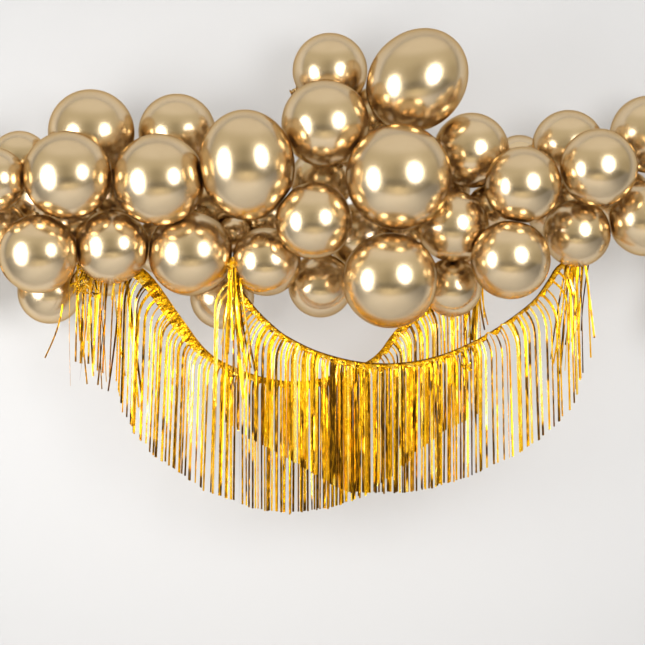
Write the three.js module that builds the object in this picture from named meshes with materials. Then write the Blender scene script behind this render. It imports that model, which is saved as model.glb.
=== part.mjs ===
// Balloon garland with two swags of foil fringe, made to hang flat against a wall.
// Units are millimetres. X runs along the garland, Y points into the wall, Z is up.
// The origin is on the back of the left hanging tab, in the plane of the wall.
import * as THREE from 'three';

// ---- main sizes ---------------------------------------------------------------------------

const HALF_SPAN = 1000;           // middle of the garland to the middle of each hanging tab
const STRIP_HEIGHT = 16;          // clear carrying strip, as tall as it is drawn flat on the wall
const STRIP_THICK = 1.4;
const TAB_LENGTH = 62;            // widened ends of the strip
const TAB_HEIGHT = 34;
const TAB_CORNER = 9;
const HOOK_RADIUS = 5;            // hole in each tab for the wall hook
const HOOK_OFFSET = 17;           // hook hole to tab middle, outwards

const GAP = 0.4;                  // air left between two balloons that press on each other
const PRESS = 0.05;               // how far two balloons are pushed together, share of their radii
const WALL_CLEAR = STRIP_THICK + 0.6;
const NECK_LENGTH = 20;           // neck and rolled lip, beyond the round body
const NECK_RADIUS = 8;
const ROUND_UP = 1.02;            // corner radius over true radius, so flats and corners average out

const FOIL_THICK = 2.0;           // the fringe is closed foil, far thicker here than the real film
const BLADE_WIDTH = 8;
const BLADE_PITCH = 15.6;
const TAIL_BLADES = 3;               // loose blades that fan out where a swag is gathered and tied
const TAIL_SPREAD = 10;

const LATEX = { color: 0xb79a63, metalness: 1.0, roughness: 0.22 };
const FOIL = { color: 0xd59a12, metalness: 1.0, roughness: 0.18 };
const CLEAR = { color: 0xe8e6df, metalness: 0.0, roughness: 0.25 };

// ---- balloons -----------------------------------------------------------------------------
// Each one: name, place along the garland from its middle, height over the strip, diameter, and
// how far its centre stands off the wall at least. They are packed in this order, from the wall
// outwards: each is pushed back until it stands at its own distance or rests on those behind it.
// `neck` turns the neck by hand, `stretch` makes the body longer than wide.

const BACK = [
  ['back_01', -690, 4, 150, 0],
  ['back_02', -492, 14, 160, 0],
  ['back_03', -285, -14, 160, 0],
  ['back_04', -136, -48, 142, 0],
  ['back_05', 92, -92, 164, 0],
  ['back_06', 128, 192, 160, 0],
  ['back_07', 288, 20, 150, 0],
  ['back_08', 572, -24, 150, 0],
  ['back_09', 735, 0, 152, 0],
  ['back_10', -10, 188, 112, 0],
  ['back_11', -398, -116, 140, 0],
  ['back_12', 368, -112, 140, 0],
  ['back_13', -602, -76, 140, 0],
  ['back_14', 408, -28, 120, 0],
  ['back_15', -214, -92, 90, 0],
  ['back_16', 222, -88, 120, 0],
];

const FRONT = [
  ['small_top_right', 485, 88, 136, 0],
  ['small_low_left', -530, -181, 119, 0],
  ['pale_low_left', -247, -243, 158, 0],
  ['low_left', -670, -229, 160, 80],
  ['end_low_left', -784, -85, 145, 110],
  ['dark_middle', -1, 41, 156, 120],
  ['end_small_left', -725, 81, 144, 130],
  ['top_middle', 17, 305, 184, 110],
  ['upper_left_a', -557, 150, 209, 110],
  ['upper_left_b', -355, 157, 190, 110],
  ['upper_right_a', 356, 105, 182, 130],
  ['upper_right_b', 592, 119, 173, 130],
  ['end_upper_right', 791, 150, 190, 130],
  ['end_mid_left', -763, 25, 151, 200],
  ['low_middle_a', -5, -215, 158, 130],
  ['low_right_small', 310, -221, 144, 190],
  ['low_right_b', 605, -93, 162, 215, { neck: [0.05, 0.72, 0.69] }],
  ['end_low_right', 769, -58, 181, 200],
  ['lower_left_a', -496, -126, 177, 250],
  ['lower_left_b', -312, -141, 204, 230],
  ['lower_middle', -134, -160, 166, 230],
  ['mid_right', 308, -78, 170, 250],
  ['lower_right_a', 435, -160, 185, 270],
  ['crown_top', 222, 264, 228, 150, { stretch: 1.16, neck: [-0.66, 0.26, -0.70] }],
  ['front_low_left', -662, -145, 186, 300],
  ['front_left_a', -589, 34, 206, 300],
  ['front_left_b', -379, 24, 215, 300],
  ['front_right_a', 641, 53, 182, 300],
  ['front_right_b', 464, 12, 180, 320],
  ['front_oval', -174, 54, 223, 280, { stretch: 1.18, neck: [0.10, 0.42, -0.90] }],
  ['front_middle_a', 7, 159, 207, 280],
  ['front_middle_b', -20, -71, 179, 330],
  ['front_low_middle', 156, -207, 224, 330],
  ['front_big', 175, 28, 246, 330],
];

// Balloons that round off the two ends of the garland.
const ENDS = [
  ['close_left_a', -896, 66, 168, 0],
  ['close_left_b', -905, -92, 156, 0],
  ['close_left_c', -862, -218, 128, 0],
  ['close_right_a', 900, 18, 166, 0],
  ['close_right_b', 892, -128, 148, 0],
  ['close_right_c', 884, -252, 126, 0],
];

// ---- fringe -------------------------------------------------------------------------------
// Header lines and lower edges of the two swags, along and up from the middle of the strip, how
// tall the folded header band stands, which is less where it rolls over at the bottom of its bow,
// and how far each swag stands off the wall along its way.

const REAR_SWAG = {
  name: 'fringe_rear',
  header: [[-592, -166], [-520, -161], [-457, -175], [-414, -211], [-354, -300], [-294, -377],
    [-222, -420], [-138, -449], [-60, -458], [18, -446], [131, -401], [186, -324], [246, -281],
    [311, -247], [376, -218]],
  lower: [[-592, -396], [-540, -415], [-470, -450], [-456, -523], [-378, -624], [-270, -708],
    [-162, -751], [-78, -763], [18, -749], [95, -722], [186, -636], [282, -569], [376, -528]],
  band: [[-592, 22], [-354, 22], [-260, 12], [70, 12], [186, 22], [376, 22]],
  off: [[-592, 160], [-470, 160], [-414, 180], [100, 180], [230, 104], [376, 104]],
  tail: 'right',
};

const FRONT_SWAG = {
  name: 'fringe_front',
  header: [[-218, -206], [-162, -281], [-121, -319], [-90, -343], [-6, -386], [121, -415],
    [258, -403], [378, -348], [498, -264], [541, -216], [575, -163], [646, -152]],
  lower: [[-218, -484], [-186, -540], [-126, -588], [18, -684], [60, -708], [186, -708],
    [258, -696], [330, -672], [402, -636], [474, -588], [534, -528], [570, -492], [618, -420],
    [646, -350]],
  band: [[-218, 22], [-121, 22], [-50, 12], [390, 12], [498, 22], [646, 22]],
  off: [[-218, 235], [498, 235], [575, 155], [646, 155]],
  tail: 'left',
};

// ---- helpers ------------------------------------------------------------------------------

function alongLine(line, x) {
  if (x <= line[0][0]) return line[0][1];
  for (let i = 1; i < line.length; i += 1) {
    if (x <= line[i][0]) {
      const t = (x - line[i - 1][0]) / (line[i][0] - line[i - 1][0]);
      return line[i - 1][1] + t * (line[i][1] - line[i - 1][1]);
    }
  }
  return line[line.length - 1][1];
}

function slopeAt(line, x) {
  const step = 6;
  return (alongLine(line, x + step) - alongLine(line, x - step)) / (2 * step);
}

function finish(name, geometry, look) {
  geometry.computeVertexNormals();
  const material = new THREE.MeshStandardMaterial({ ...look, flatShading: true });
  const mesh = new THREE.Mesh(geometry, material);
  mesh.name = name;
  return mesh;
}

// ---- packing ------------------------------------------------------------------------------

// Radius of a balloon's body towards a direction: round across, `stretch` times that along the
// line of its neck.
function bodyRadius(balloon, direction) {
  const c = direction.dot(balloon.neck);
  const long = balloon.radius * balloon.stretch;
  return 1 / Math.sqrt((c * c) / (long * long) + (1 - c * c) / (balloon.radius * balloon.radius));
}

// Pushes one balloon back until it stands at its own distance or rests on one already placed.
function settle(balloon, placed) {
  let y = Math.min(-WALL_CLEAR - balloon.radius * 0.97, -balloon.off);
  for (let round = 0; round < 60; round += 1) {
    let moved = false;
    for (const other of placed) {
      const flat = Math.hypot(balloon.x - other.x, balloon.z - other.z);
      const away = new THREE.Vector3(other.x - balloon.x, other.y - y, other.z - balloon.z).normalize();
      const reach = (bodyRadius(balloon, away) + bodyRadius(other, away)) * (1 - PRESS);
      if (flat < reach) {
        const limit = other.y - Math.sqrt(reach * reach - flat * flat);
        if (y > limit + 0.01) {
          y = limit;
          moved = true;
        }
      }
    }
    if (!moved) break;
  }
  return y;
}

// Flat walls between a balloon and all near it. Each is a direction and a distance from the centre.
function wallsAround(balloon, all) {
  const walls = [];
  for (const other of all) {
    if (other === balloon) continue;
    const apart = new THREE.Vector3().subVectors(other.centre, balloon.centre);
    const distance = apart.length();
    apart.normalize();
    const mine = bodyRadius(balloon, apart);
    const theirs = bodyRadius(other, apart);
    if (distance < mine + theirs + 2.4 * NECK_LENGTH) {
      walls.push({ direction: apart, distance: (distance * mine) / (mine + theirs) - GAP / 2 });
    }
  }
  walls.push({ direction: new THREE.Vector3(0, 1, 0), distance: -WALL_CLEAR - balloon.centre.y });
  return walls;
}

function freeLength(direction, walls) {
  let free = Infinity;
  for (const wall of walls) {
    const c = direction.dot(wall.direction);
    if (c > 0.001) free = Math.min(free, wall.distance / c);
  }
  return free;
}

// The neck points where there is room for it, away from the room and in towards the strip.
function chooseNeck(balloon, walls) {
  const tie = new THREE.Vector3(balloon.x * 0.96, -150, 0).sub(balloon.centre).normalize();
  const steps = 90;
  let best = null;
  for (let i = 0; i < steps; i += 1) {
    const up = 1 - (2 * i + 1) / steps;
    const turn = i * Math.PI * (3 - Math.sqrt(5));
    const side = Math.sqrt(1 - up * up);
    const direction = new THREE.Vector3(side * Math.cos(turn), side * Math.sin(turn), up);
    if (direction.y < 0.12) continue;
    const room = Math.min(freeLength(direction, walls) - balloon.radius, NECK_LENGTH + 2);
    const score = room + 9 * direction.dot(tie);
    if (best === null || score > best.score) best = { direction, score };
  }
  return best.direction;
}

function pack(rows) {
  const placed = [];
  for (const [name, x, z, width, off, extra] of rows) {
    const neck = new THREE.Vector3(...(extra?.neck ?? [0, 1, 0])).normalize();
    const balloon = { name, x, z, off, radius: width / 2, stretch: extra?.stretch ?? 1, neck };
    balloon.fixedNeck = Boolean(extra?.neck);
    balloon.y = settle(balloon, placed);
    balloon.centre = new THREE.Vector3(x, balloon.y, z);
    placed.push(balloon);
  }
  for (const balloon of placed) balloon.walls = wallsAround(balloon, placed);
  for (const balloon of placed) {
    if (!balloon.fixedNeck) balloon.neck = chooseNeck(balloon, balloon.walls);
  }
  return placed;
}

// ---- solids -------------------------------------------------------------------------------

// A balloon is a ball of rings about the line of its neck. Every corner lies on its own ray from
// the centre and is drawn in to the nearest wall, so neighbours meet flat and never cross.
function balloonMesh(balloon, sides, tilts) {
  const axis = balloon.neck;
  const helper = Math.abs(axis.z) < 0.8 ? new THREE.Vector3(0, 0, 1) : new THREE.Vector3(1, 0, 0);
  const u = new THREE.Vector3().crossVectors(axis, helper).normalize();
  const v = new THREE.Vector3().crossVectors(axis, u).normalize();
  const rings = [];
  for (const tilt of tilts) {
    const angle = (tilt * Math.PI) / 180;
    const along = -Math.cos(angle) * balloon.radius * balloon.stretch * ROUND_UP;
    const taper = 1 - 0.06 * Math.max(0, -Math.cos(angle));
    rings.push([along, Math.sin(angle) * balloon.radius * ROUND_UP * taper]);
  }
  const long = balloon.radius * balloon.stretch;
  rings.push([long + NECK_LENGTH * 0.3, NECK_RADIUS * 1.05]);
  rings.push([long + NECK_LENGTH, NECK_RADIUS * 0.95]);

  const points = [];
  const place = (direction) => {
    const length = direction.length();
    const ray = direction.clone().normalize();
    const reach = Math.min(length, freeLength(ray, balloon.walls));
    points.push(ray.multiplyScalar(reach).add(balloon.centre));
  };
  place(axis.clone().multiplyScalar(-long * ROUND_UP));
  for (const [along, out] of rings) {
    for (let k = 0; k < sides; k += 1) {
      const turn = (2 * Math.PI * k) / sides;
      const ray = axis.clone().multiplyScalar(along);
      ray.addScaledVector(u, out * Math.cos(turn));
      ray.addScaledVector(v, out * Math.sin(turn));
      place(ray);
    }
  }
  place(axis.clone().multiplyScalar(long + NECK_LENGTH));

  const faces = [];
  const at = (ring, k) => 1 + ring * sides + (k % sides);
  const last = rings.length - 1;
  for (let k = 0; k < sides; k += 1) {
    faces.push(0, at(0, k + 1), at(0, k));
    faces.push(points.length - 1, at(last, k), at(last, k + 1));
    for (let ring = 0; ring < last; ring += 1) {
      faces.push(at(ring, k), at(ring, k + 1), at(ring + 1, k));
      faces.push(at(ring, k + 1), at(ring + 1, k + 1), at(ring + 1, k));
    }
  }
  const flat = points.flatMap((p) => [p.x + HALF_SPAN, p.y, p.z]);
  const geometry = new THREE.BufferGeometry();
  geometry.setAttribute('position', new THREE.Float32BufferAttribute(flat, 3));
  geometry.setIndex(faces);
  return finish(`balloon_${balloon.name}`, geometry, LATEX);
}

function circlePath(x, z, radius, sides) {
  const path = new THREE.Path();
  for (let k = 0; k <= sides; k += 1) {
    const turn = (2 * Math.PI * k) / sides;
    const px = x + radius * Math.cos(turn);
    const pz = z + radius * Math.sin(turn);
    if (k === 0) path.moveTo(px, pz);
    else path.lineTo(px, pz);
  }
  return path;
}

// Turns an outline drawn along and up into a solid between two distances from the wall.
function slab(shape, back, thick) {
  const geometry = new THREE.ExtrudeGeometry(shape, { depth: thick, bevelEnabled: false, steps: 1 });
  geometry.rotateX(Math.PI / 2);
  geometry.translate(0, back, 0);
  return geometry;
}

function stripMesh() {
  const shape = new THREE.Shape();
  const h = STRIP_HEIGHT / 2;
  const t = TAB_HEIGHT / 2;
  const outer = HALF_SPAN + TAB_LENGTH / 2;
  const inner = HALF_SPAN - TAB_LENGTH / 2;
  const c = TAB_CORNER;
  const right = [[inner - c, -h], [inner, -t + c / 3], [inner + c, -t], [outer - c, -t], [outer, -t + c],
    [outer, t - c], [outer - c, t], [inner + c, t], [inner, t - c / 3], [inner - c, h]];
  const left = right.map(([x, z]) => [-x, -z]);
  const outline = [...right, ...left];
  outline.forEach(([x, z], i) => {
    if (i === 0) shape.moveTo(x, z);
    else shape.lineTo(x, z);
  });
  shape.closePath();
  for (const side of [-1, 1]) {
    shape.holes.push(circlePath(side * (HALF_SPAN + HOOK_OFFSET), 0, HOOK_RADIUS, 8));
  }
  const geometry = slab(shape, 0, STRIP_THICK);
  geometry.translate(HALF_SPAN, 0, 0);
  return finish('carrying_strip', geometry, CLEAR);
}

// Loose blades at a tied end: they leave the end of the header and fan outwards as they hang.
function tailBlades(x, swag, side) {
  const top = alongLine(swag.header, x);
  const end = alongLine(swag.lower, x);
  const points = [];
  for (let i = 0; i < TAIL_BLADES; i += 1) {
    const near = x + side * (i * TAIL_SPREAD + 3);
    const out = near + side * (TAIL_SPREAD - 3);
    const z = top - 4 + 5 * i;
    points.push([near, end + 12 * i], [out, end + 12 * i + 4], [x + side * (1.5 + 1.5 * i), z]);
  }
  return points;
}

// One swag: a header band that follows its line, and upright blades of foil cut from it like the
// teeth of a comb. Both are one outline, given its thickness and then bent to stand off the wall.
function fringeMesh(swag) {
  const first = swag.header[0][0];
  const last = swag.header[swag.header.length - 1][0];
  const count = Math.floor((last - first - BLADE_WIDTH) / BLADE_PITCH);
  const pitch = (last - first - BLADE_WIDTH) / count;
  const half = (x) => (alongLine(swag.band, x) / 2) * Math.hypot(1, slopeAt(swag.header, x));
  const upper = swag.header.map(([x, z]) => [x, z + half(x)]);
  const lower = [];
  for (let i = count; i >= 0; i -= 1) {
    const left = first + i * pitch;
    const right = left + BLADE_WIDTH;
    const ragged = 5 * Math.sin(i * 2.4) + 3 * Math.sin(i * 5.3 + 1);
    const end = alongLine(swag.lower, (left + right) / 2) + ragged;
    const root = (x) => alongLine(swag.header, x) - half(x);
    lower.push([right, root(right)], [right, end], [left, end], [left, root(left)]);
  }
  const shape = new THREE.Shape();
  const outline = [...upper, ...lower];
  if (swag.tail === 'left') outline.push(...tailBlades(first, swag, -1));
  if (swag.tail === 'right') outline.splice(upper.length, 0, ...tailBlades(last, swag, 1).reverse());
  outline.forEach(([x, z], i) => {
    if (i === 0) shape.moveTo(x, z);
    else shape.lineTo(x, z);
  });
  shape.closePath();
  const geometry = slab(shape, 0, FOIL_THICK);
  const position = geometry.getAttribute('position');
  for (let i = 0; i < position.count; i += 1) {
    const x = position.getX(i);
    position.setXYZ(i, x + HALF_SPAN, position.getY(i) - alongLine(swag.off, x), position.getZ(i));
  }
  return finish(swag.name, geometry, FOIL);
}

// ---- assembly -----------------------------------------------------------------------------

const garland = new THREE.Group();
garland.name = 'balloon_garland';

const packed = pack([...BACK, ...ENDS, ...FRONT]);
const plain = new Set(BACK.map(([name]) => name));
for (const balloon of packed) {
  if (plain.has(balloon.name)) {
    garland.add(balloonMesh(balloon, 8, [38, 76, 112, 146]));
  } else {
    garland.add(balloonMesh(balloon, balloon.radius < 80 ? 9 : 10, [27, 53, 79, 105, 130, 154]));
  }
}
garland.add(stripMesh());
garland.add(fringeMesh(REAR_SWAG));
garland.add(fringeMesh(FRONT_SWAG));

export default garland;
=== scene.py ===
"""Balloon garland with two swags of foil fringe, dressed for a soft white studio.

Every balloon is one smooth skin that is fitted to its solid in the frame and pressed flat where
it meets its neighbours. The fringe is hundreds of narrow foil strips under two folded bands.
Lengths are in metres: X runs along the garland, Y into the wall and Z up.
"""

import logging
import math
from dataclasses import dataclass, field
from enum import Enum

import bpy
import numpy as np
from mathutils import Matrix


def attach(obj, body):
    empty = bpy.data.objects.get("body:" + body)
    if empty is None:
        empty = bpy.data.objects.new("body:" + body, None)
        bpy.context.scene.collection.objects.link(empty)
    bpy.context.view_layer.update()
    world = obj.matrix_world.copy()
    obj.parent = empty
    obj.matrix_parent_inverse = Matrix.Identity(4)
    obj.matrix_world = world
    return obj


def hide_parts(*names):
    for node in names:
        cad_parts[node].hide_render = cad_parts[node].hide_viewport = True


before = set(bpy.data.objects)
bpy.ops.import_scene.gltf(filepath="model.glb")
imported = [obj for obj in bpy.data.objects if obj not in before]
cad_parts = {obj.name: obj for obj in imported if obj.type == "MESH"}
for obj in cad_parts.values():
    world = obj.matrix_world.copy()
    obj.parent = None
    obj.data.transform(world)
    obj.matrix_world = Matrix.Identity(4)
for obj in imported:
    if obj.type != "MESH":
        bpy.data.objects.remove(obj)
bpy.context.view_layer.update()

LOG = logging.getLogger("garland")
MM = 0.001
SEED = 20
HALF_SPAN = 1.0      # the origin is the left hanging point, and the two are twice this apart


class Slot(Enum):
    """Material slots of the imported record."""

    LATEX = "chrome_latex"
    FOIL = "gold_foil"
    STRIP = "clear_strip"


class Layer(Enum):
    """How much of a balloon shows, which decides how finely its skin is drawn."""

    FRONT = (84, 60)
    BACK = (56, 40)


# ---- meshes -----------------------------------------------------------------------------------


def mesh_object(name: str, points: np.ndarray, quads: np.ndarray, triangles: np.ndarray | None = None,
                marks: dict[str, np.ndarray] | None = None, smooth: bool = True) -> bpy.types.Object:
    """Puts whole arrays of points and faces into a new mesh object at the origin.

    Args:
        name: Name of the object and its mesh.
        points: Corner places, one row of three each.
        quads: Four corner numbers a row.
        triangles: Three corner numbers a row, if there are any.
        marks: Named numbers, one to each corner, that materials read as attributes.
        smooth: Whether the faces are shaded smooth.

    Returns:
        The linked object.
    """
    triangles = np.zeros((0, 3), int) if triangles is None else triangles
    corners = np.concatenate([quads.ravel(), triangles.ravel()]).astype(np.int32)
    sizes = np.concatenate([np.full(len(quads), 4), np.full(len(triangles), 3)])
    starts = (np.cumsum(sizes) - sizes).astype(np.int32)
    mesh = bpy.data.meshes.new(name)
    mesh.vertices.add(len(points))
    mesh.vertices.foreach_set("co", np.ascontiguousarray(points, np.float32).ravel())
    mesh.loops.add(len(corners))
    mesh.loops.foreach_set("vertex_index", corners)
    mesh.polygons.add(len(starts))
    mesh.polygons.foreach_set("loop_start", starts)
    mesh.polygons.foreach_set("use_smooth", np.full(len(starts), smooth))
    for mark, values in (marks or {}).items():
        layer = mesh.attributes.new(mark, "FLOAT", "POINT")
        layer.data.foreach_set("value", np.ascontiguousarray(values, np.float32).ravel())
    mesh.update(calc_edges=True)
    mesh.validate()
    obj = bpy.data.objects.new(name, mesh)
    bpy.context.scene.collection.objects.link(obj)
    return obj


def tube_quads(rings: int, sides: int, first: int = 0) -> np.ndarray:
    """Faces of a tube of rings: corner k of a ring joins corner k of the next, and the sides close.

    Args:
        rings: How many rings of corners there are.
        sides: Corners to a ring.
        first: Number of the first corner.

    Returns:
        Four corner numbers a row, facing out for rings that turn left about the way they run.
    """
    ring, side = np.meshgrid(np.arange(rings - 1), np.arange(sides), indexing="ij")
    after = (side + 1) % sides
    faces = np.stack([ring * sides + side, ring * sides + after,
                      (ring + 1) * sides + after, (ring + 1) * sides + side], axis=-1)
    return faces.reshape(-1, 4) + first


def unit(vectors: np.ndarray) -> np.ndarray:
    """Vectors scaled to a length of one along their last axis."""
    return vectors / np.maximum(np.linalg.norm(vectors, axis=-1, keepdims=True), 1e-12)


def smooth_step(low: float, high: float, values: np.ndarray) -> np.ndarray:
    """Eases from 0 at low to 1 at high by 3t^2 - 2t^3."""
    t = np.clip((values - low) / (high - low), 0.0, 1.0)
    return t * t * (3.0 - 2.0 * t)


# ---- materials --------------------------------------------------------------------------------


class Graph:
    """A node tree that is written one node to a line."""

    def __init__(self, tree: bpy.types.NodeTree) -> None:
        """Empties the tree and keeps it."""
        self.tree = tree
        tree.nodes.clear()

    def add(self, kind: str, settings: dict | None = None, **inputs) -> bpy.types.Node:
        """Adds a node, sets its options and fills or links its inputs.

        Args:
            kind: Blender's name of the node type.
            settings: Options of the node itself.
            **inputs: Input values or output sockets, by input name with _ for a space, or i0, i1
                for an input by number.

        Returns:
            The new node.
        """
        node = self.tree.nodes.new(kind)
        for key, value in (settings or {}).items():
            setattr(node, key, value)
        for key, value in inputs.items():
            socket = node.inputs[int(key[1:])] if key[1:].isdigit() and key[0] == "i" else \
                node.inputs[key.replace("_", " ")]
            if isinstance(value, bpy.types.NodeSocket):
                self.tree.links.new(value, socket)
            else:
                socket.default_value = value
        return node

    def mix(self, factor, first, second) -> bpy.types.NodeSocket:
        """Mixes two colours by a factor.

        Args:
            factor: Number or socket.
            first: Colour or socket at 0.
            second: Colour or socket at 1.

        Returns:
            The mixed colour's socket.
        """
        node = self.tree.nodes.new("ShaderNodeMix")
        node.data_type = "RGBA"
        for socket, value in ((node.inputs[0], factor), (node.inputs[6], first), (node.inputs[7], second)):
            if isinstance(value, bpy.types.NodeSocket):
                self.tree.links.new(value, socket)
            else:
                socket.default_value = value
        return node.outputs[2]

    def math(self, operation: str, first, second=0.0, clamp: bool = False) -> bpy.types.NodeSocket:
        """Adds a Math node and returns its output socket."""
        node = self.add("ShaderNodeMath", {"operation": operation, "use_clamp": clamp}, i0=first, i1=second)
        return node.outputs[0]

    def ramp(self, value, low: float, high: float, to_low: float = 0.0, to_high: float = 1.0,
             ) -> bpy.types.NodeSocket:
        """Eases a value between two limits and returns the output socket."""
        node = self.add("ShaderNodeMapRange", {"interpolation_type": "SMOOTHSTEP"}, Value=value)
        for number, limit in zip((1, 2, 3, 4), (low, high, to_low, to_high)):
            node.inputs[number].default_value = limit
        return node.outputs[0]


def group_tree(name: str, inputs: dict[str, str], outputs: dict[str, str]) -> bpy.types.NodeTree:
    """Makes an empty shader node group with named sockets.

    Args:
        name: Name of the group.
        inputs: Socket type to each input name.
        outputs: Socket type to each output name.

    Returns:
        The group's node tree.
    """
    tree = bpy.data.node_groups.new(name, "ShaderNodeTree")
    for socket, kind in inputs.items():
        tree.interface.new_socket(socket, in_out="INPUT", socket_type=kind)
    for socket, kind in outputs.items():
        tree.interface.new_socket(socket, in_out="OUTPUT", socket_type=kind)
    return tree


def cloud_group() -> bpy.types.NodeTree:
    """Soft clouds over a surface, from noise on its own coordinates, as a mask."""
    tree = group_tree("soft_clouds", {"Scale": "NodeSocketFloat", "Stretch": "NodeSocketVector",
                                      "Detail": "NodeSocketFloat"}, {"Mask": "NodeSocketFloat"})
    graph = Graph(tree)
    enter = graph.add("NodeGroupInput")
    place = graph.add("ShaderNodeTexCoord")
    turned = graph.add("ShaderNodeVectorMath", {"operation": "MULTIPLY"},
                       i0=place.outputs["Object"], i1=enter.outputs["Stretch"])
    noise = graph.add("ShaderNodeTexNoise", Vector=turned.outputs[0], Scale=enter.outputs["Scale"],
                      Detail=enter.outputs["Detail"], Roughness=0.55)
    graph.add("NodeGroupOutput", Mask=noise.outputs[0])
    return tree


@dataclass(frozen=True)
class ChromeLatex:
    """Stretched metallic latex: a satin mirror, deeper in colour where it is drawn in at the neck."""

    body: tuple = (0.80, 0.64, 0.425, 1.0)
    drawn: tuple = (0.52, 0.36, 0.17, 1.0)
    rim: tuple = (0.62, 0.47, 0.28, 1.0)
    roughness: float = 0.235
    drawn_roughness: float = 0.30
    speck_share: float = 0.0125

    def material(self, clouds: bpy.types.NodeTree) -> bpy.types.Material:
        """Builds the material; the attribute drawn_in is 0 on the body and 1 at the neck."""
        made = bpy.data.materials.new("champagne_chrome_latex")
        made.use_nodes = True
        graph = Graph(made.node_tree)
        neck = graph.add("ShaderNodeAttribute", {"attribute_name": "drawn_in"}).outputs["Fac"]
        cloud = graph.add("ShaderNodeGroup", {"node_tree": clouds}, Scale=14.0, Stretch=(1, 1, 1), Detail=3.0)
        place = graph.add("ShaderNodeTexCoord").outputs["Object"]
        cells = graph.add("ShaderNodeTexVoronoi", Vector=place, Scale=42.0, Randomness=1.0)
        speck = graph.ramp(cells.outputs["Distance"], 0.05, 0.085, 1.0, 0.0)
        rare = graph.ramp(graph.add("ShaderNodeSeparateColor", Color=cells.outputs["Color"]).outputs[0],
                          self.speck_share, self.speck_share + 0.001, 1.0, 0.0)
        speck = graph.math("MULTIPLY", speck, rare)
        tone = graph.ramp(cloud.outputs["Mask"], 0.3, 0.7, 0.0, 0.10)
        colour = graph.mix(graph.math("MAXIMUM", neck, tone), self.body, self.drawn)
        colour = graph.mix(graph.math("MULTIPLY", speck, 0.45), colour, (0.20, 0.12, 0.05, 1.0))
        rough = graph.ramp(cloud.outputs["Mask"], 0.3, 0.7, self.roughness - 0.012, self.roughness + 0.02)
        rough = graph.math("ADD", rough, graph.math("MULTIPLY", neck, self.drawn_roughness - self.roughness))
        shader = graph.add("ShaderNodeBsdfPrincipled", Base_Color=colour, Metallic=1.0, Roughness=rough,
                           Specular_Tint=self.rim)
        graph.add("ShaderNodeOutputMaterial", Surface=shader.outputs[0])
        return made


@dataclass(frozen=True)
class GoldFoil:
    """Metallised film: deep yellow gold, with painted shade down to near black in folds and painted glints up
    to pale.
    """

    name: str = "gold_foil"
    # Colour by tone: painted shade near black, gold in the middle, painted pale glare at the top.
    tones: tuple = ((0.0, (0.075, 0.032, 0.002, 1.0)), (0.25, (0.35, 0.16, 0.005, 1.0)),
                    (0.5, (0.88, 0.45, 0.006, 1.0)), (0.75, (1.0, 0.60, 0.015, 1.0)),
                    (1.0, (1.0, 0.76, 0.17, 1.0)))
    metal: float = 0.76
    roughness: float = 0.20
    relief: float = 0.35
    relief_scale: float = 90.0
    relief_stretch: tuple = (1.0, 1.0, 0.25)
    # How far fine noise swings the tone: painted glints and flecks of painted shade.
    painted_glint: float = 0.30

    def material(self, clouds: bpy.types.NodeTree) -> bpy.types.Material:
        """Builds the material; the attribute tone is painted light and shade, from 0, near black, to 1, pale.
        """
        made = bpy.data.materials.new(self.name)
        made.use_nodes = True
        graph = Graph(made.node_tree)
        tone = graph.add("ShaderNodeAttribute", {"attribute_name": "tone"}).outputs["Fac"]
        crease = graph.add("ShaderNodeGroup", {"node_tree": clouds}, Scale=self.relief_scale,
                           Stretch=self.relief_stretch, Detail=2.0)
        fine = graph.add("ShaderNodeGroup", {"node_tree": clouds}, Scale=self.relief_scale * 2.2,
                         Stretch=self.relief_stretch, Detail=1.0)
        # Painted glints: fine noise lifts and lowers the painted light and shade tone.
        swing = graph.ramp(fine.outputs["Mask"], 0.35, 0.65, -self.painted_glint / 2, self.painted_glint / 2)
        ramp = graph.add("ShaderNodeValToRGB", Fac=graph.math("ADD", tone, swing, clamp=True))
        bar = ramp.color_ramp
        for place, colour in self.tones[1:-1]:
            bar.elements.new(place).color = colour
        bar.elements[0].color = self.tones[0][1]
        bar.elements[-1].color = self.tones[-1][1]
        bump = graph.add("ShaderNodeBump", Strength=self.relief, Distance=0.004,
                         Height=crease.outputs["Mask"])
        shader = graph.add("ShaderNodeBsdfPrincipled", Base_Color=ramp.outputs[0], Metallic=self.metal,
                           Roughness=self.roughness, Specular_IOR_Level=0.12, Normal=bump.outputs[0])
        graph.add("ShaderNodeOutputMaterial", Surface=shader.outputs[0])
        return made


@dataclass(frozen=True)
class ClearFilm:
    """Clear flexible plastic of the carrying strip."""

    tint: tuple = (0.93, 0.94, 0.93, 1.0)
    roughness: float = 0.12

    def material(self) -> bpy.types.Material:
        """Builds the material by plain values on the shader."""
        made = bpy.data.materials.new("clear_strip")
        made.use_nodes = True
        graph = Graph(made.node_tree)
        shader = graph.add("ShaderNodeBsdfPrincipled", Base_Color=self.tint, Roughness=self.roughness,
                           Transmission_Weight=0.9, IOR=1.45)
        graph.add("ShaderNodeOutputMaterial", Surface=shader.outputs[0])
        return made


# ---- balloons ---------------------------------------------------------------------------------

# Bodies that are longer than wide; every other balloon is round.
STRETCH = {"balloon_crown_top": 1.16, "balloon_front_oval": 1.18}


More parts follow.
